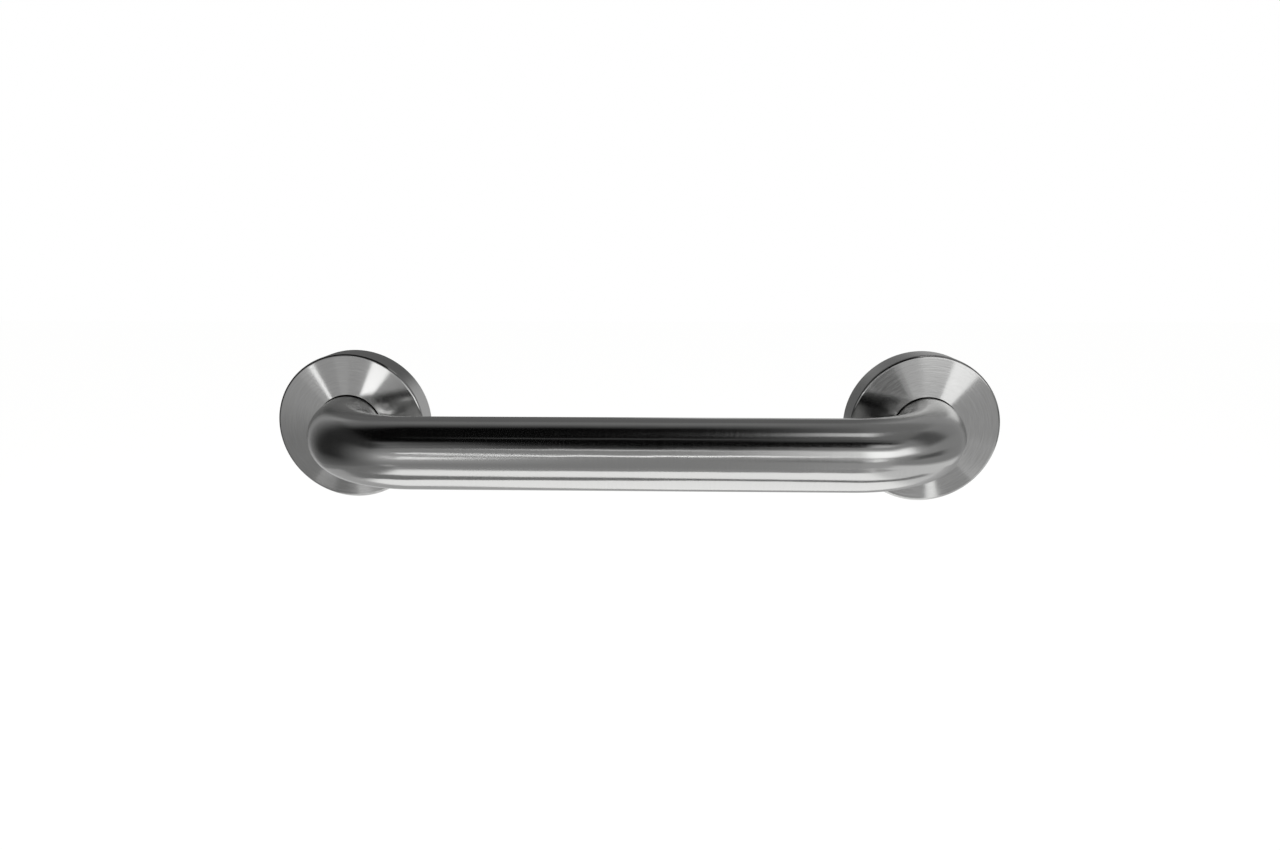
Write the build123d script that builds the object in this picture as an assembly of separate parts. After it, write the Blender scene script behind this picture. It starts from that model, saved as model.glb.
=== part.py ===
from build123d import *
import os
from math import hypot, sqrt

# A short stainless steel grab bar: one tube, bent at a right angle near both ends and welded into a round
# flange at each end. A thin sheet cover snaps over each flange and hides its screws.
# The wall is the plane Y = 0 and the bar stands off it towards -Y. X runs along the bar and Z is up.
# The origin is on the wall, midway between the two legs.

# Driving dimensions, in millimetres
centre_distance = 300.0  # from leg to leg, the bar's nominal length
tube_diameter = 34.0
tube_wall = 1.2
bend_radius = 49.0  # to the tube's centreline
leg_length = 16.0  # the straight stretch of a leg, from the wall to the start of its bend
flange_diameter = 75.0
flange_thickness = 3.0
flange_edge = 0.5  # chamfer that leads the cover on
weld_leg = 3.0  # along the tube and along the flange
weld_crown = 0.4  # how far the bead stands proud of a flat fillet
screw_hole_diameter = 6.5
screw_count = 3
cover_sheet = 0.9
cover_skirt = 15.0  # from the wall to the corner of the rim
cover_rise = 2.0  # of the shallow cone, from the rim to the hole
cover_rim_radius = 1.5
cover_travel = 3.0  # how far a cover slides along its leg, off the flange

# Clearances, in millimetres
snap_gap = 0.35  # between the flange's edge and the cover's skirt
wall_gap = 0.3  # between the wall and the cover's skirt
running_gap = 0.2  # between the bend and the cover's hole, at the end of the cover's travel
slip_gap = 0.15  # between the tube and the flange's bore
end_recess = 0.5  # of the tube's end behind the flange's back
weld_gap = 0.05  # between the bead and the tube

# Sizes that follow from them
tube_radius = tube_diameter / 2
leg_x = centre_distance / 2
bar_y = -(leg_length + bend_radius)
flange_radius = flange_diameter / 2
weld_toe_radius = tube_radius + weld_leg
screw_circle_radius = (weld_toe_radius + flange_radius) / 2
cover_radius = flange_radius + snap_gap + cover_sheet
cover_front = cover_skirt + cover_rise


def bend_intrusion(depth):
    """How far the inside of the bend has come in from the leg, at a depth past the start of the bend."""
    inside_radius = bend_radius - tube_radius
    return inside_radius - sqrt(inside_radius**2 - max(depth, 0) ** 2)


cover_hole_radius = tube_radius + bend_intrusion(cover_front + cover_travel - leg_length) + running_gap
cone_slope = cover_rise / (cover_radius - cover_hole_radius)


def bent_tube():
    """One length of tube: a leg, a bend, the bar, a bend and a leg."""
    corners = (
        (-leg_x, -end_recess, 0),
        (-leg_x, bar_y, 0),
        (leg_x, bar_y, 0),
        (leg_x, -end_recess, 0),
    )
    with BuildPart() as tube:
        with BuildLine():
            FilletPolyline(*corners, radius=bend_radius)
        with BuildSketch(Plane(origin=corners[0], z_dir=(0, -1, 0))):
            Circle(tube_radius)
            Circle(tube_radius - tube_wall, mode=Mode.SUBTRACT)
        sweep()
    return tube.part


def mounting_flange(first_screw_angle):
    """A round plate with its back on the wall, a bore for the tube and a ring of screw holes."""
    with BuildPart() as flange:
        with BuildSketch(Plane.XZ):
            Circle(flange_radius)
            Circle(tube_radius + slip_gap, mode=Mode.SUBTRACT)
            with PolarLocations(screw_circle_radius, screw_count, start_angle=first_screw_angle):
                Circle(screw_hole_diameter / 2, mode=Mode.SUBTRACT)
        extrude(amount=flange_thickness)
        front = flange.faces().sort_by(Axis.Y)[0]
        chamfer(front.outer_wire().edges(), flange_edge)
    return flange.part


def weld_bead():
    """The ring of weld metal in the corner between the tube and the flange's front."""
    inner_radius = tube_radius + weld_gap
    corner = (inner_radius, -flange_thickness)
    flange_toe = (weld_toe_radius, -flange_thickness)
    tube_toe = (inner_radius, -flange_thickness - weld_leg)
    with BuildPart() as bead:
        with BuildSketch():
            with BuildLine():
                Polyline(tube_toe, corner, flange_toe)
                SagittaArc(flange_toe, tube_toe, weld_crown)
            make_face()
        revolve(axis=Axis.Y)
    return bead.part


def cap(radius, rim_height, rim_radius):
    """A solid of the cover's form: a straight side, a rounded rim and a shallow cone up to its axis."""
    peak = rim_height + cone_slope * radius
    rim = (radius, -rim_height)
    with BuildPart() as solid:
        with BuildSketch() as outline:
            with BuildLine():
                Polyline((0, -wall_gap), (radius, -wall_gap), rim, (0, -peak), close=True)
            make_face()
            fillet(outline.vertices().sort_by_distance((*rim, 0))[0], rim_radius)
        revolve(axis=Axis.Y)
    return solid.part


def flange_cover():
    """A sheet pressing: the outer cap less the cap one sheet inside it, with a hole for the tube."""
    sheet_height = cover_sheet * hypot(1, cone_slope) - cover_sheet * cone_slope
    outer = cap(cover_radius, cover_skirt, cover_rim_radius)
    inner = cap(cover_radius - cover_sheet, cover_skirt - sheet_height, cover_rim_radius - cover_sheet)
    with BuildPart() as cover:
        add(outer)
        add(inner, mode=Mode.SUBTRACT)
        with BuildSketch(Plane.XZ):
            Circle(cover_hole_radius)
        extrude(amount=2 * cover_front, mode=Mode.SUBTRACT)
    return cover.part


os.makedirs("parts", exist_ok=True)
export_step(bent_tube(), "parts/grab_bar_tube.step")
# The two ends are mirror images: each flange has one screw hole at its outer end, in line with the bar
for side, x, outer_angle in (("left", -leg_x, 180), ("right", leg_x, 0)):
    place = Pos(x, 0, 0)
    export_step(place * mounting_flange(outer_angle), f"parts/{side}_mounting_flange.step")
    export_step(place * weld_bead(), f"parts/{side}_weld_bead.step")
    export_step(place * flange_cover(), f"parts/{side}_flange_cover.step")
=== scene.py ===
"""The looks of a short stainless steel grab bar: its tube, its covers, what they hide, and a small studio.

Units are metres, in the model's own frame: the wall is the plane Y = 0, the bar stands off it towards -Y,
X runs along the bar and Z is up.
"""

from cmath import exp, phase
from math import cos, hypot, pi, radians, sin, tan

import bpy
from mathutils import Matrix, Vector


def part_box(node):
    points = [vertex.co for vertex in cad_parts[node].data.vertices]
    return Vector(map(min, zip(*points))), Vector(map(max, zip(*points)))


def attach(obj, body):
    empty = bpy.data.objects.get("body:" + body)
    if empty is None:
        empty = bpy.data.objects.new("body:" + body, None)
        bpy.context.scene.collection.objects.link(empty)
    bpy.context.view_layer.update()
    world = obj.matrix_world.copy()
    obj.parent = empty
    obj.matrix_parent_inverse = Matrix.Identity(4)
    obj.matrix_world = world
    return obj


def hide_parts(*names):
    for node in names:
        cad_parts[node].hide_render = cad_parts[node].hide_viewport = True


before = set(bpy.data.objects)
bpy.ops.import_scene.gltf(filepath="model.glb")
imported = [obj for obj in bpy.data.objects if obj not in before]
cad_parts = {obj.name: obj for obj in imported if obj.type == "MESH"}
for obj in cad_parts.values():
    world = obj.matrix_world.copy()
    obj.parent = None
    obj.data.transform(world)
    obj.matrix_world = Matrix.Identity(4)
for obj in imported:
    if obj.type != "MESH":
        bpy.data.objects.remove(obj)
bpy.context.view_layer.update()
MM = 0.001

# Camera, matched to the photograph's frame
PHOTO_WIDTH_PX = 1280
FOCAL_LENGTH_PX = 788.5
SENSOR_WIDTH_MM = 36.0
CAMERA_PLACE = Vector((15.3, -414.8, 99.2)) * MM
CAMERA_TURN_LEFT = radians(1.79)
CAMERA_LOOK_DOWN = radians(13.70)
CAMERA_ROLL = radians(-0.14)

# Sizes read from the model
tube_low, tube_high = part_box("grab_bar_tube")
tube_radius = (tube_high.z - tube_low.z) / 2
leg_x = tube_high.x - tube_radius
bar_y = tube_low.y + tube_radius
tube_end_y = tube_high.y
cover_low, cover_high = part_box("right_flange_cover")
cover_radius = (cover_high.z - cover_low.z) / 2
cover_front = -cover_low.y
cover_wall_gap = -cover_high.y
bead_low, bead_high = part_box("right_weld_bead")
bead_toe_radius = (bead_high.z - bead_low.z) / 2
bead_front = -bead_low.y
flange_front = -bead_high.y

# Sizes that the model's boxes don't give
bend_radius = 49 * MM  # to the tube's centreline
tube_wall = 1.2 * MM
cover_sheet = 0.9 * MM
cover_rise = 2.0 * MM  # of the shallow cone, from the rim to the hole
cover_rim_radius = 1.5 * MM
cover_hole_radius = 17.451 * MM
bead_gap = 0.05 * MM  # between the bead and the tube
bead_crown = 0.4 * MM  # how far the bead stands proud of a flat fillet
deburred_edge = 0.2 * MM  # the small round left on every cut edge
ripple_pitch = 1.1 * MM  # of the weld bead's scales
ripple_height = 0.07 * MM
ripple_lag = 2.0  # how far a scale's toes trail its middle, in radians of one ripple

# How finely the meshes are divided
tube_columns = 128
cover_columns = 192
ripple_columns = 6  # for each ripple of the weld
bend_steps = 48
bore_bend_steps = 16
bar_steps = 16
bore_bar_steps = 2
corner_steps = 8
crown_steps = 7

# Waves that bending and polishing leave in the tube's wall
POLISHING_WAVE_MM = 70  # along the tube, for each tube radius round it
POLISHING_WAVE_SCALE = 1.6  # on both, so a wave is about 44 mm along the tube and 11 mm round it
POLISHING_WAVE_HEIGHT = 0.12 * MM

# Spacing of the finishes' other patterns, in millimetres
POLISHING_LINE_MM = 0.8  # really about 0.1, drawn coarser so that it shows in the render
BORE_LINE_LENGTH_MM = 30
BRUSH_LINE_MM = 0.5  # really about 0.1, drawn coarser so that it shows in the render
OIL_CLOUD_MM = 9
ROLL_LINE_LENGTH_MM = 35
ROLL_LINE_MM = 0.7  # finer on the real plate, drawn coarser so that it shows in the render
HEAT_BLOOM_MM = 4

# How often a pattern changes on the way round
BORE_LINES_ROUND = 90.0  # in one turn
BRUSH_STROKES_ROUND = 3.0  # in one radian of a cover's ring

# Most of a noise pattern lies between these two values
NOISE_LOW = 0.3
NOISE_HIGH = 0.7

# The weld's bloom from the heat shows where its pattern is above this
BLOOM_START = 0.4

# A mix node's sockets for two colours share their names with others, so they go by number
MIX_SHARE = 0
MIX_FIRST = 6
MIX_SECOND = 7
MIX_RESULT = 2  # the output

# The two finishes of a sheet or tube, and the names of the UV maps
OUTSIDE = 0
INSIDE = 1
SKIN_UV = "along_and_round"
CARD_UV = "sheet"


# Meshes

def rounded_outline(corners):
    """The points round a closed outline, each with its outward normal and its finish.

    A corner is a point of the plane as a complex number, a radius and the finish from there on.
    The corners go round with the solid on their left. A corner with no radius is one point.
    """
    outline = []
    for place, (corner, radius, finish) in enumerate(corners):
        before = corner - corners[place - 1][0]
        after = corners[(place + 1) % len(corners)][0] - corner
        turn = phase(after / before)
        heading = before / abs(before)
        if not radius:
            outline.append((corner, -1j * heading * exp(0.5j * turn), finish))
            continue
        start = corner - heading * radius * tan(abs(turn) / 2)
        bulge = radius if turn > 0 else -radius
        centre = start + 1j * heading * bulge
        for step in range(corner_steps + 1):
            normal = -1j * heading * exp(1j * turn * step / corner_steps)
            outline.append((centre + normal * bulge, normal, finish))
    return outline


def add_skin(name, outline, columns, place, finishes):
    """A closed mesh: place() puts a point or a direction of the outline in space, at a turn round the ring.

    Its UV map holds the length along the outline in metres and the share of a turn round the ring.
    """
    rows = len(outline)
    points = []
    normals = []
    for spot, normal, _ in outline:
        for column in range(columns):
            turn = 2 * pi * column / columns
            point, direction = place(spot, normal, turn)
            points.append(point)
            normals.append(direction)
    lengths = [0.0]
    for row in range(rows):
        lengths.append(lengths[-1] + abs(outline[(row + 1) % rows][0] - outline[row][0]))
    faces = []
    face_finishes = []
    uvs = []
    for row in range(rows):
        this_row = row * columns
        next_row = (row + 1) % rows * columns
        for column in range(columns):
            beside = (column + 1) % columns
            faces.append((this_row + column, this_row + beside, next_row + beside, next_row + column))
            face_finishes.append(outline[row][2])
            near, far = column / columns, (column + 1) / columns
            uvs += [lengths[row], near, lengths[row], far, lengths[row + 1], far, lengths[row + 1], near]
    mesh = bpy.data.meshes.new(name)
    mesh.from_pydata(points, [], faces)
    mesh.polygons.foreach_set("material_index", face_finishes)
    mesh.polygons.foreach_set("use_smooth", [True] * len(faces))
    mesh.uv_layers.new(name=SKIN_UV).uv.foreach_set("vector", uvs)
    for finish in finishes:
        mesh.materials.append(finish)
    mesh.update()
    mesh.normals_split_custom_set_from_vertices(normals)
    skin = bpy.data.objects.new(name, mesh)
    bpy.context.scene.collection.objects.link(skin)
    return skin


def turned(spot, normal, turn):
    """A point and a direction of an outline of radius and height off the wall, turned round the Y axis."""
    radial = Vector((cos(turn), 0, sin(turn)))
    off_wall = Vector((0, -1, 0))
    return radial * spot.real + off_wall * spot.imag, radial * normal.real + off_wall * normal.imag


# The tube

leg_run = tube_end_y - (bar_y + bend_radius)
bend_run = bend_radius * pi / 2
bar_run = 2 * (leg_x - bend_radius)
tube_run = 2 * (leg_run + bend_run) + bar_run


def tube_line(along):
    """The centreline's point and heading at a length from the left end, as complex numbers of X and Y."""
    if along > tube_run / 2:
        point, heading = tube_line(tube_run - along)
        return -point.conjugate(), heading.conjugate()
    if along < leg_run:
        return complex(-leg_x, tube_end_y - along), -1j
    bend_centre = complex(-leg_x + bend_radius, bar_y + bend_radius)
    if along < leg_run + bend_run:
        swing = exp(1j * (along - leg_run) / bend_radius)
        return bend_centre - bend_radius * swing, -1j * swing
    return complex(bend_centre.real + along - leg_run - bend_run, bar_y), 1 + 0j


def on_tube(spot, normal, turn):
    """A point and a direction of an outline of length and radius. Turn 0 is on the outside of the bends."""
    centre, heading = tube_line(spot.real)
    outside = -1j * heading
    ahead = Vector((heading.real, heading.imag, 0))
    across = Vector((outside.real * cos(turn), outside.imag * cos(turn), sin(turn)))
    point = Vector((centre.real, centre.imag, 0)) + across * spot.imag
    return point, ahead * normal.real + across * normal.imag


def tube_stations(steps_in_bend, steps_in_bar):
    """Lengths along the tube between its ends, close together in the bends."""
    stations = []
    for step in range(steps_in_bend + 1):
        stations.append(leg_run + bend_run * step / steps_in_bend)
    for step in range(1, steps_in_bar):
        stations.append(leg_run + bend_run + bar_run * step / steps_in_bar)
    for step in range(steps_in_bend + 1):
        stations.append(leg_run + bend_run + bar_run + bend_run * step / steps_in_bend)
    return stations


def add_tube():
    """The bent tube, with its bore and its two deburred ends."""
    bore_radius = tube_radius - tube_wall
    corners = [(complex(tube_run, tube_radius), deburred_edge, OUTSIDE)]
    for along in reversed(tube_stations(bend_steps, bar_steps)):
        corners.append((complex(along, tube_radius), 0, OUTSIDE))
    corners.append((complex(0, tube_radius), deburred_edge, INSIDE))
    corners.append((complex(0, bore_radius), deburred_edge, INSIDE))
    for along in tube_stations(bore_bend_steps, bore_bar_steps):
        corners.append((complex(along, bore_radius), 0, INSIDE))
    corners.append((complex(tube_run, bore_radius), deburred_edge, INSIDE))
    finishes = (satin_polished_tube(), drawn_tube_bore())
    tube = add_skin("tube", rounded_outline(corners), tube_columns, on_tube, finishes)
    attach(tube, "bar")
    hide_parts("grab_bar_tube")


# The covers

def add_cover(side, x):
    """A pressed sheet cover: a skirt, a rounded rim and a shallow cone with a hole for the leg."""
    slope = cover_rise / (cover_radius - cover_hole_radius)
    inner_radius = cover_radius - cover_sheet
    rim = cover_front - cover_rise
    inner_rim = rim - cover_sheet * (hypot(1, slope) - slope)
    inner_front = inner_rim + slope * (inner_radius - cover_hole_radius)
    corners = (
        (complex(cover_radius, cover_wall_gap), deburred_edge, OUTSIDE),
        (complex(cover_radius, rim), cover_rim_radius, OUTSIDE),
        (complex(cover_hole_radius, cover_front), deburred_edge, OUTSIDE),
        (complex(cover_hole_radius, inner_front), deburred_edge, INSIDE),
        (complex(inner_radius, inner_rim), cover_rim_radius - cover_sheet, INSIDE),
        (complex(inner_radius, cover_wall_gap), deburred_edge, INSIDE),
    )
    finishes = (brushed_cover_steel(), pressed_cover_inside())
    cover = add_skin(f"{side}_cover", rounded_outline(corners), cover_columns, turned, finishes)
    cover.location.x = x
    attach(cover, f"{side}_cover")
    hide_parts(f"{side}_flange_cover")


# The weld beads

def crowned(share):
    """A smooth rise from 0 at a bead's two toes to 1 in its middle."""
    return 4 * share * (1 - share)


def add_weld_bead(side, x):
    """A ring of weld metal with the overlapping scales that a hand-fed rod leaves."""
    inner_radius = tube_radius + bead_gap
    flange_toe = complex(bead_toe_radius, flange_front)
    tube_toe = complex(inner_radius, bead_front)
    chord = tube_toe - flange_toe
    outward = -1j * chord / abs(chord)
    corners = [(complex(inner_radius, flange_front), 0, OUTSIDE), (flange_toe, 0, OUTSIDE)]
    for step in range(1, crown_steps):
        share = step / crown_steps
        crown = bead_crown * crowned(share)
        corners.append((flange_toe + chord * share + outward * crown, 0, OUTSIDE))
    corners.append((tube_toe, 0, OUTSIDE))
    ripples = round(2 * pi * bead_toe_radius / ripple_pitch)

    def rippled(spot, normal, turn):
        """A point of the bead with its scales, which curve: they lag behind at its two toes."""
        share = ((spot - flange_toe) / chord).real
        crown = max(0.0, crowned(share))
        scale = cos(ripples * turn + ripple_lag * crown)
        return turned(spot + normal * ripple_height * crown * scale, normal, turn)

    columns = ripples * ripple_columns
    bead = add_skin(f"{side}_bead", rounded_outline(corners), columns, rippled, (weld_metal(),))
    bead.location.x = x
    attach(bead, "bar")
    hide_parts(f"{side}_weld_bead")


# Materials

def linear(hex_colour):
    """An sRGB hex colour as linear red, green, blue and alpha."""
    colour = []
    for place in (1, 3, 5):
        channel = int(hex_colour[place:place + 2], 16) / 255
        colour.append(channel / 12.92 if channel <= 0.04045 else ((channel + 0.055) / 1.055) ** 2.4)
    return colour + [1.0]


def add_node(tree, kind, settings=None, inputs=None):
    """A node with its settings made, and each input set to a constant or linked to a node's output."""
    node = tree.nodes.new(f"ShaderNode{kind}")
    for name, value in (settings or {}).items():
        setattr(node, name, value)
    for name, value in (inputs or {}).items():
        if isinstance(value, bpy.types.NodeSocket):
            tree.links.new(value, node.inputs[name])
        else:
            node.inputs[name].default_value = value
    return node


def new_material(name):
    """An empty material and its node tree."""
    material = bpy.data.materials.new(name)
    material.use_nodes = True
    material.node_tree.nodes.clear()
    return material, material.node_tree


def finish_material(tree, shader):
    """Links a shader to the material's output."""
    add_node(tree, "OutputMaterial", inputs={"Surface": shader})


def finish_steel(tree, pattern, colours, roughness, tint=None, more=None):
    """Ends a material as bare steel. A pattern sets its roughness, and its colour unless a tint does."""
    first, second = colours
    colour = add_node(
        tree,
        "Mix",
        {"data_type": "RGBA"},
        {
            MIX_SHARE: pattern if tint is None else tint,
            MIX_FIRST: linear(first),
            MIX_SECOND: linear(second),
        },
    )
    smoothest, roughest = roughness
    spread = add_node(
        tree,
        "MapRange",
        inputs={
            "Value": pattern,
            "From Min": NOISE_LOW,
            "From Max": NOISE_HIGH,
            "To Min": smoothest,
            "To Max": roughest,
        },
    )
    steel = add_node(
        tree,
        "BsdfPrincipled",
        inputs={
            "Base Color": colour.outputs[MIX_RESULT],
            "Metallic": 1.0,
            "Roughness": spread.outputs[0],
            **(more or {}),
        },
    )
    finish_material(tree, steel.outputs[0])


def per_mm(millimetres):
    """The scale that gives a noise pattern its spacing, on coordinates in metres."""
    return 1 / (millimetres * MM)


def satin_polished_tube():
    """Stainless tube, belt polished round its girth: reflections stay sharp round it and smear along it."""
    material, tree = new_material("stainless_tube_satin_polished")
    uv = add_node(tree, "UVMap", {"uv_map": SKIN_UV})
    parts = add_node(tree, "SeparateXYZ", inputs={0: uv.outputs[0]})
    angle = add_node(tree, "Math", {"operation": "MULTIPLY"}, {0: parts.outputs["Y"], 1: 2 * pi})
    cosine = add_node(tree, "Math", {"operation": "COSINE"}, {0: angle.outputs[0]})
    sine = add_node(tree, "Math", {"operation": "SINE"}, {0: angle.outputs[0]})
    # Waves that bending and polishing leave in the wall, long along the tube and short round it
    wave_length = add_node(
        tree,
        "Math",
        {"operation": "MULTIPLY"},
        {0: parts.outputs["X"], 1: per_mm(POLISHING_WAVE_MM)},
    )
    wave_place = add_node(
        tree,
        "CombineXYZ",
        inputs={"X": cosine.outputs[0], "Y": sine.outputs[0], "Z": wave_length.outputs[0]},
    )
    waves = add_node(
        tree,
        "TexNoise",
        inputs={
            "Vector": wave_place.outputs[0],
            "Scale": POLISHING_WAVE_SCALE,
            "Detail": 2.0,
            "Roughness": 0.45,
        },
    )
    wave_bump = add_node(
        tree,
        "Bump",
        inputs={"Height": waves.outputs[0], "Strength": 1.0, "Distance": POLISHING_WAVE_HEIGHT},
    )
    # Polishing lines round the tube
    line_length = add_node(
        tree,
        "Math",
        {"operation": "MULTIPLY"},
        {0: parts.outputs["X"], 1: per_mm(POLISHING_LINE_MM)},
    )
    line_place = add_node(
        tree,
        "CombineXYZ",
        inputs={"X": cosine.outputs[0], "Y": sine.outputs[0], "Z": line_length.outputs[0]},
    )
    lines = add_node(
        tree,
        "TexNoise",
        inputs={"Vector": line_place.outputs[0], "Scale": 1.0, "Detail": 3.0, "Roughness": 0.6},
    )
    tangent = add_node(tree, "Tangent", {"direction_type": "UV_MAP", "uv_map": SKIN_UV})
    finish_steel(
        tree,
        pattern=lines.outputs[0],
        colours=("#D6D6D5", "#DDDDDC"),
        roughness=(0.15, 0.18),
        more={"Anisotropic": 0.85, "Tangent": tangent.outputs[0], "Normal": wave_bump.outputs[0]},
    )
    return material


def drawn_tube_bore():
    """The tube's unpolished inside, as it left the mill: dull grey, with faint lines along it."""
    material, tree = new_material("stainless_tube_bore_as_drawn")
    uv = add_node(tree, "UVMap", {"uv_map": SKIN_UV})
    stretch = add_node(
        tree,
        "VectorMath",
        {"operation": "MULTIPLY"},
        {0: uv.outputs[0], 1: (per_mm(BORE_LINE_LENGTH_MM), BORE_LINES_ROUND, 1.0)},
    )
    lines = add_node(tree, "TexNoise", inputs={"Vector": stretch.outputs[0], "Scale": 1.0, "Detail": 3.0})
    finish_steel(
        tree,
        pattern=lines.outputs[0],
        colours=("#8A8884", "#A19F9B"),
        roughness=(0.42, 0.56),
    )
    return material


def brushed_cover_steel():
    """Stainless sheet, brushed as it spun: fine rings, and each light shows as a bright fan across them."""
    material, tree = new_material("stainless_cover_concentric_brushed")
    place = add_node(tree, "TexCoord")
    flat = add_node(
        tree,
        "VectorMath",
        {"operation": "MULTIPLY"},
        {0: place.outputs["Object"], 1: (1.0, 0.0, 1.0)},
    )
    radius = add_node(tree, "VectorMath", {"operation": "LENGTH"}, {0: flat.outputs[0]})
    direction = add_node(tree, "VectorMath", {"operation": "NORMALIZE"}, {0: flat.outputs[0]})
    parts = add_node(tree, "SeparateXYZ", inputs={0: place.outputs["Object"]})
    # Brush lines, counted by radius and height off the wall so that the skirt has them too
    across = add_node(
        tree,
        "Math",
        {"operation": "SUBTRACT"},
        {0: radius.outputs["Value"], 1: parts.outputs["Y"]},
    )
    ring = add_node(
        tree,
        "Math",
        {"operation": "MULTIPLY"},
        {0: across.outputs[0], 1: per_mm(BRUSH_LINE_MM)},
    )
    ring_place = add_node(tree, "CombineXYZ", inputs={"Y": ring.outputs[0]})
    line_place = add_node(
        tree,
        "VectorMath",
        {"operation": "MULTIPLY_ADD"},
        {0: direction.outputs[0], 1: [BRUSH_STROKES_ROUND] * 3, 2: ring_place.outputs[0]},
    )
    lines = add_node(
        tree,
        "TexNoise",
        inputs={"Vector": line_place.outputs[0], "Scale": 1.0, "Detail": 3.0, "Roughness": 0.6},
    )
    tangent = add_node(tree, "Tangent", {"direction_type": "UV_MAP", "uv_map": SKIN_UV})
    finish_steel(
        tree,
        pattern=lines.outputs[0],
        colours=("#C1C1C0", "#E6E6E5"),
        roughness=(0.11, 0.14),
        more={"Anisotropic": 1.0, "Tangent": tangent.outputs[0]},
    )
    return material


def pressed_cover_inside():
    """The cover's inside, left as rolled: a soft grey sheen with a faint cloud from the press's oil."""
    material, tree = new_material("stainless_cover_inside_as_pressed")
    place = add_node(tree, "TexCoord")
    clouds = add_node(
        tree,
        "TexNoise",
        inputs={
            "Vector": place.outputs["Object"],
            "Scale": per_mm(OIL_CLOUD_MM),
            "Detail": 4.0,
            "Roughness": 0.6,
        },
    )
    finish_steel(
        tree,
        pattern=clouds.outputs[0],
        colours=("#A9A8A5", "#BDBCB9"),
        roughness=(0.36, 0.5),
    )
    return material


def cold_rolled_plate():
    """Stainless plate, cold rolled and punched: pale matt grey with faint straight lines from the rolls."""
    material, tree = new_material("stainless_plate_cold_rolled")
    place = add_node(tree, "TexCoord")
    across_lines = per_mm(ROLL_LINE_MM)
    stretch = add_node(
        tree,
        "VectorMath",
        {"operation": "MULTIPLY"},
        {0: place.outputs["Object"], 1: (per_mm(ROLL_LINE_LENGTH_MM), across_lines, across_lines)},
    )
    lines = add_node(tree, "TexNoise", inputs={"Vector": stretch.outputs[0], "Scale": 1.0, "Detail": 3.0})
    finish_steel(
        tree,
        pattern=lines.outputs[0],
        colours=("#B4B3B0", "#C6C5C2"),
        roughness=(0.34, 0.44),
    )
    return material


def weld_metal():
    """Stainless weld metal, left as it froze: grey, with a straw-coloured bloom from the heat."""
    material, tree = new_material("stainless_weld_as_laid")
    place = add_node(tree, "TexCoord")
    bloom = add_node(
        tree,
        "TexNoise",
        inputs={"Vector": place.outputs["Object"], "Scale": per_mm(HEAT_BLOOM_MM), "Detail": 3.0},
    )
    share = add_node(
        tree,
        "MapRange",
        inputs={
            "Value": bloom.outputs[0],
            "From Min": BLOOM_START,
            "From Max": NOISE_HIGH,
            "To Min": 0.0,
            "To Max": 1.0,
        },
    )
    finish_steel(
        tree,
        pattern=bloom.outputs[0],
        colours=("#A3A09B", "#A58F6C"),
        roughness=(0.32, 0.5),
        tint=share.outputs[0],
    )
    return material


# The studio

FLOOR_SIZE = 12.0
FLOOR_GLOW = 0.85  # the share of plain white that the eye and a mirror see, the rest being lit floor
SOFTBOX_SIZE = 1.2
SOFTBOX_WATTS = 20.0
SOFTBOX_PLACE = (0.0, -0.1, 1.6)

# A room of cards round the bar, for its metal to mirror: each side's axis and where it stands on that axis
ROOM = {
    "left": (0, -1.1),
    "right": (0, 1.1),
    "front": (1, -1.1),
    "back": (1, 0.7),
    "floor": (2, -0.6),
    "ceiling": (2, 0.9),
}
CARD_SPACING = 0.001  # between cards that lie over each other


def rectangle(left, right, low, high):
    """The corners of a card that lies square on its side of the room, along that side's two axes."""
    return ((left, low), (right, low), (right, high), (left, high))


# What each cover would mirror on the front wall if it were flat. Its cone mirrors a ring round that place,
# so a card across that ring shows as a fan on the cover.
FAN_CENTRES = {"left": (-0.6, -0.27), "right": (0.52, -0.27)}
FAN_REACH = (0.2, 0.4)  # from inside the ring to outside it


def fan(cover, start, end):
    """The corners of a card across a cover's ring, between two angles in degrees from +X towards +Z."""
    centre = FAN_CENTRES[cover]
    near, far = FAN_REACH
    corners = []
    for reach, angle in ((near, start), (far, start), (far, end), (near, end)):
        turn = radians(angle)
        corners.append((centre[0] + reach * cos(turn), centre[1] + reach * sin(turn)))
    return corners


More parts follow.
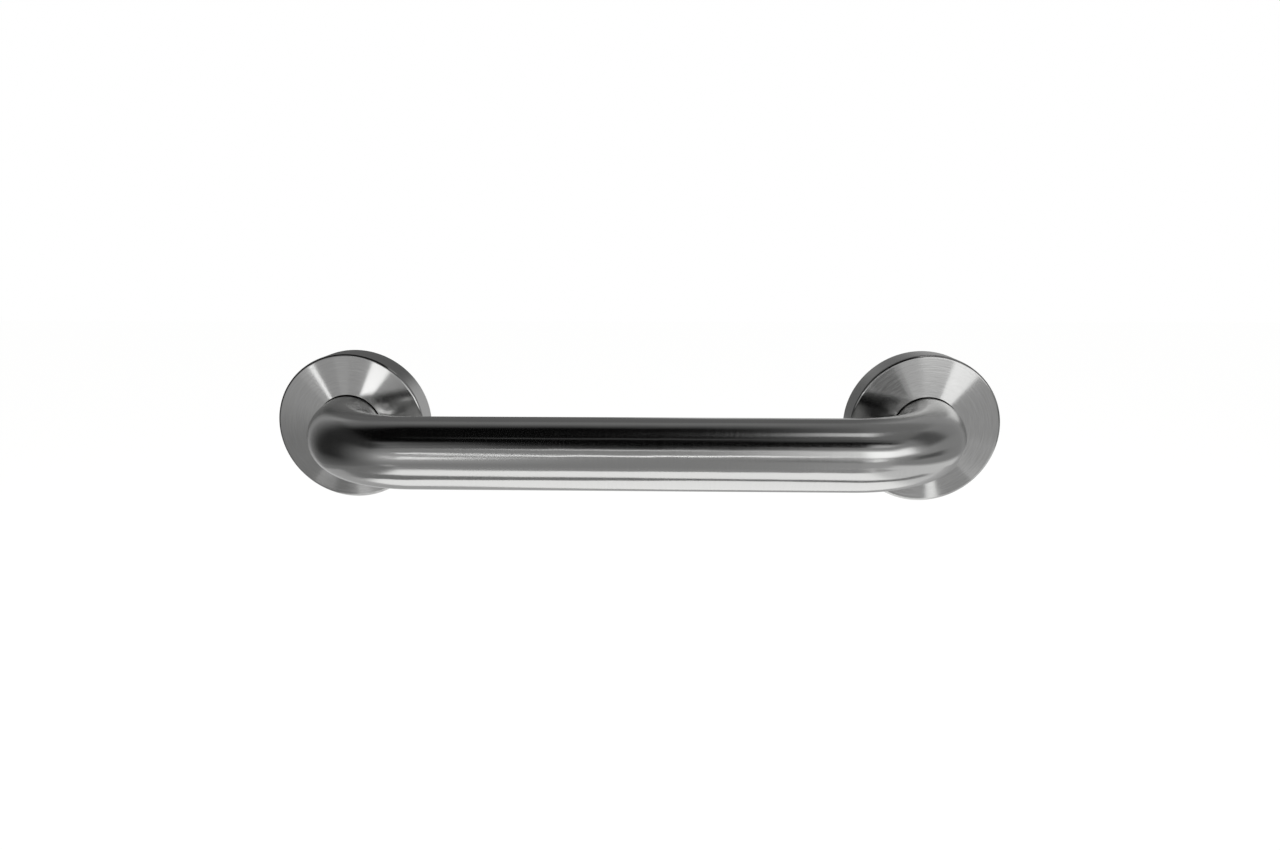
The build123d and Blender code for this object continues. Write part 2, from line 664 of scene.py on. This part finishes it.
# Each card: its name, its side of the room, its corners, its brightness and the width of its soft edge.
# A later card lies over an earlier one. They are laid out so that the steel shows the bands and fans that it
# has in the photograph.
CARDS = (
    ("front_wall", "front", rectangle(-1.15, 1.15, -0.65, 0.95), 0.25, 0),
    ("front_left", "front", rectangle(-1.35, -0.15, -0.35, 0.35), 0.38, 0.2),
    ("front_right", "front", rectangle(0.2, 1.35, -0.85, 0.8), 0.38, 0.2),
    ("front_top", "front", rectangle(-1.5, 0.4, 0.5, 1.3), 0.01, 0.2),
    ("front_top_left", "front", rectangle(-1.2, -0.2, 0.5, 1.0), 0.22, 0.3),
    (
        "front_strip",
        "front",
        (
            (-0.55, 0.25),
            (-0.38, 0.235),
            (-0.22, 0.135),
            (-0.06, 0.14),
            (0.3, 0.195),
            (0.3, 0.245),
            (-0.06, 0.18),
            (-0.22, 0.175),
            (-0.38, 0.275),
            (-0.55, 0.29),
        ),
        1.9,
        0,
    ),
    ("front_strip_top", "front", rectangle(-0.3, 0.12, 0.51, 0.56), 0.8, 0),
    ("front_panel_edge", "front", rectangle(0.17, 1.3, 0.12, 0.62), 0.7, 0.1),
    ("front_panel", "front", rectangle(0.42, 1.25, 0.1, 0.54), 1.3, 0.05),
    ("left_wide_fan", "front", fan("left", 50, 65), 1.9, 0),
    ("left_crown_fan", "front", fan("left", 84, 98), 0.47, 0),
    ("left_shoulder_fan", "front", fan("left", 123, 135), 0.5, 0),
    ("left_thin_fan", "front", fan("left", 118, 123), 2.0, 0),
    ("left_low_fan", "front", fan("left", 231, 248), 0.8, 0),
    ("right_top_fan", "front", fan("right", 72, 117), 0.55, 0),
    ("right_wide_fan", "front", fan("right", 47, 72), 1.4, 0),
    ("right_shade", "front", fan("right", 122, 142), 0.12, 0),
    ("right_low_fan", "front", fan("right", 279, 288), 1.2, 0),
    ("back_wall", "back", rectangle(-1.15, 1.15, -0.65, 0.95), 0.13, 0),
    ("back_foot", "back", rectangle(-1.4, 1.4, -1.0, -0.1), 0.6, 0.2),
    ("back_low", "back", rectangle(-0.05, 1.4, -0.9, 0.27), 0.45, 0.12),
    ("back_left", "back", rectangle(-1.25, -0.75, -0.75, 0.95), 0.33, 0.15),
    ("back_right", "back", rectangle(0.35, 1.25, -0.65, 1.15), 0.3, 0.2),
    ("left_wall", "left", rectangle(-1.15, 0.75, -0.65, 0.95), 0.02, 0),
    ("left_front", "left", rectangle(-1.85, -0.25, -1.6, 0.9), 0.25, 0.8),
    ("left_top", "left", rectangle(-1.15, 0.3, 0.36, 1.05), 0.025, 0.15),
    ("left_back", "left", rectangle(0.2, 1.2, -0.75, 1.05), 0.22, 0.45),
    ("left_foot", "left", rectangle(-1.5, 1.1, -1.0, -0.2), 0.16, 0.4),
    ("right_wall", "right", rectangle(-1.15, 0.75, -0.65, 0.95), 0.25, 0),
    ("right_foot", "right", rectangle(-1.35, 0.95, -0.9, -0.34), 0.65, 0.1),
    ("right_band", "right", rectangle(-0.62, 0.02, -0.17, 0.02), 0.08, 0.06),
    ("right_dark", "right", rectangle(-0.36, 0.25, 0.22, 0.95), 0.08, 0.1),
    ("right_window", "right", rectangle(-1.3, -0.5, 0.08, 0.58), 1.15, 0.12),
    ("ceiling", "ceiling", rectangle(-1.15, 1.15, -1.15, 0.75), 0.002, 0),
    ("ceiling_left", "ceiling", rectangle(-1.25, -0.35, -1.25, -0.75), 0.12, 0.12),
    ("ceiling_right", "ceiling", rectangle(0.15, 1.25, -0.7, 0.75), 0.17, 0.2),
    ("ceiling_front", "ceiling", rectangle(0.55, 1.25, -1.25, -0.75), 0.5, 0.1),
    ("ceiling_streak", "ceiling", rectangle(-0.33, 0.9, -0.55, -0.47), 0.08, 0.03),
    ("ceiling_lamp", "ceiling", rectangle(0.23, 0.5, -0.33, -0.08), 0.8, 0.05),
    ("ceiling_back", "ceiling", rectangle(-1.55, 1.55, 0.08, 1.2), 0.18, 0.35),
    ("floor_left", "floor", rectangle(-1.25, -0.45, -1.25, 0.85), 0.2, 0.1),
    ("floor_right", "floor", rectangle(0.42, 1.25, -1.25, 0.85), 0.65, 0.1),
    (
        "floor_front",
        "floor",
        ((-0.6, -1.15), (0.8, -1.15), (0.8, -0.74), (-0.25, -0.75), (-0.4, -0.86), (-0.6, -0.88)),
        0.28,
        0,
    ),
    (
        "floor_back",
        "floor",
        ((-0.9, 0.0), (-0.25, 0.12), (0.0, 0.3), (1.1, 0.36), (1.1, 0.75), (-0.9, 0.75)),
        0.4,
        0,
    ),
    (
        "floor_line",
        "floor",
        (
            (-0.7, -0.2),
            (-0.4, -0.42),
            (0.1, -0.35),
            (0.4, -0.27),
            (0.8, -0.02),
            (0.75, 0.12),
            (0.4, -0.16),
            (0.1, -0.26),
            (-0.4, -0.18),
            (-0.62, 0.04),
        ),
        0.2,
        0,
    ),
    ("left_foot_fan", "floor", ((-0.62, -1.1), (-0.56, -1.1), (-0.41, -0.75), (-0.48, -0.75)), 0.6, 0),
    ("right_foot_fan", "floor", ((0.57, -1.1), (0.62, -1.1), (0.52, -0.75), (0.46, -0.75)), 1.2, 0),
)


def seen_directly(tree):
    """1 for what the camera, a mirror or glass sees, and 0 for light that falls on a matt surface."""
    rays = add_node(tree, "LightPath")
    mirrored = add_node(
        tree,
        "Math",
        {"operation": "MAXIMUM"},
        {0: rays.outputs["Is Camera Ray"], 1: rays.outputs["Is Glossy Ray"]},
    )
    seen = add_node(
        tree,
        "Math",
        {"operation": "MAXIMUM"},
        {0: mirrored.outputs[0], 1: rays.outputs["Is Transmission Ray"]},
    )
    return seen.outputs[0]


def add_world():
    """A plain white surround."""
    world = bpy.data.worlds.new("white_surround")
    world.use_nodes = True
    tree = world.node_tree
    tree.nodes.clear()
    white = add_node(tree, "Background", inputs={"Color": linear("#FFFFFF"), "Strength": 1.0})
    add_node(tree, "OutputWorld", inputs={"Surface": white.outputs[0]})
    bpy.context.scene.world = world


def add_sheet(name, side, corners, layer, material):
    """A flat sheet on one side of the room, some layers in front of it, with a UV map in metres."""
    axis, place = ROOM[side]
    place -= CARD_SPACING * layer * (1 if place > 0 else -1)
    points = []
    uvs = []
    for across, along in corners:
        point = [across, along]
        point.insert(axis, place)
        points.append(point)
        uvs += [across - corners[0][0], along - corners[0][1]]
    mesh = bpy.data.meshes.new(name)
    mesh.from_pydata(points, [], [range(len(points))])
    mesh.uv_layers.new(name=CARD_UV).uv.foreach_set("vector", uvs)
    mesh.materials.append(material)
    sheet = bpy.data.objects.new(name, mesh)
    bpy.context.scene.collection.objects.link(sheet)
    return sheet


def only_mirrored(card):
    """Keeps a card from everything but mirrors: it gives no other light and no shadow."""
    card.visible_camera = False
    card.visible_diffuse = False
    card.visible_transmission = False
    card.visible_shadow = False


def pale_floor():
    """Matt white paint that looks white and still takes a faint shadow."""
    material, tree = new_material("floor_matt_white_paint")
    paint = add_node(tree, "BsdfDiffuse", inputs={"Color": linear("#FAFAF8")})
    glow = add_node(tree, "Emission", inputs={"Color": linear("#FFFFFF"), "Strength": 1.0})
    share = add_node(tree, "Math", {"operation": "MULTIPLY"}, {0: seen_directly(tree), 1: FLOOR_GLOW})
    both = add_node(
        tree,
        "MixShader",
        inputs={0: share.outputs[0], 1: paint.outputs[0], 2: glow.outputs[0]},
    )
    finish_material(tree, both.outputs[0])
    return material


def add_floor():
    """A wide pale floor."""
    reach = FLOOR_SIZE / 2
    add_sheet("floor", "floor", rectangle(-reach, reach, -reach, reach), 0, pale_floor())


def glowing_card(name, sizes, brightness, fade):
    """A card of even brightness. One with a fade is a rectangle of these sizes, with soft edges."""
    material, tree = new_material(name)
    glow = add_node(tree, "Emission", inputs={"Strength": brightness})
    if not fade:
        finish_material(tree, glow.outputs[0])
        return material
    uv = add_node(tree, "UVMap", {"uv_map": CARD_UV})
    parts = add_node(tree, "SeparateXYZ", inputs={0: uv.outputs[0]})
    fades = []
    for axis, size in zip("XY", sizes):
        edge = add_node(tree, "Math", {"operation": "PINGPONG"}, {0: parts.outputs[axis], 1: size / 2})
        share = add_node(tree, "MapRange", inputs={"Value": edge.outputs[0], "From Max": fade})
        fades.append(share.outputs[0])
    solid = add_node(tree, "Math", {"operation": "MULTIPLY"}, {0: fades[0], 1: fades[1]})
    clear = add_node(tree, "BsdfTransparent")
    both = add_node(
        tree,
        "MixShader",
        inputs={0: solid.outputs[0], 1: clear.outputs[0], 2: glow.outputs[0]},
    )
    finish_material(tree, both.outputs[0])
    return material


def add_cards():
    """The room's cards."""
    for layer, (name, side, corners, brightness, fade) in enumerate(CARDS, 1):
        start, end = corners[0], corners[2]
        material = glowing_card(name, (end[0] - start[0], end[1] - start[1]), brightness, fade)
        only_mirrored(add_sheet(name, side, corners, layer, material))


def add_overhead_softbox():
    """The lamp overhead that gives the floor its soft shadow and that the metal doesn't show."""
    light = bpy.data.lights.new("overhead_softbox", "AREA")
    light.size = SOFTBOX_SIZE
    light.energy = SOFTBOX_WATTS
    softbox = bpy.data.objects.new("overhead_softbox", light)
    softbox.location = SOFTBOX_PLACE
    softbox.visible_camera = False
    softbox.visible_glossy = False
    bpy.context.scene.collection.objects.link(softbox)


def add_camera():
    """A camera where the photograph was taken from."""
    data = bpy.data.cameras.new("camera")
    data.sensor_width = SENSOR_WIDTH_MM
    data.lens = SENSOR_WIDTH_MM * FOCAL_LENGTH_PX / PHOTO_WIDTH_PX
    camera = bpy.data.objects.new("camera", data)
    turn_left = Matrix.Rotation(CAMERA_TURN_LEFT, 4, "Z")
    look_down = Matrix.Rotation(pi / 2 - CAMERA_LOOK_DOWN, 4, "X")
    roll = Matrix.Rotation(CAMERA_ROLL, 4, "Z")
    camera.matrix_world = Matrix.Translation(CAMERA_PLACE) @ turn_left @ look_down @ roll
    bpy.context.scene.collection.objects.link(camera)
    bpy.context.scene.camera = camera


add_camera()
add_world()
add_floor()
add_cards()
add_overhead_softbox()

add_tube()
plate = cold_rolled_plate()
for side, x in (("left", -leg_x), ("right", leg_x)):
    add_cover(side, x)
    add_weld_bead(side, x)
    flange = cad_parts[f"{side}_mounting_flange"]
    flange.material_slots[0].material = plate

bpy.context.scene.view_settings.view_transform = "Standard"
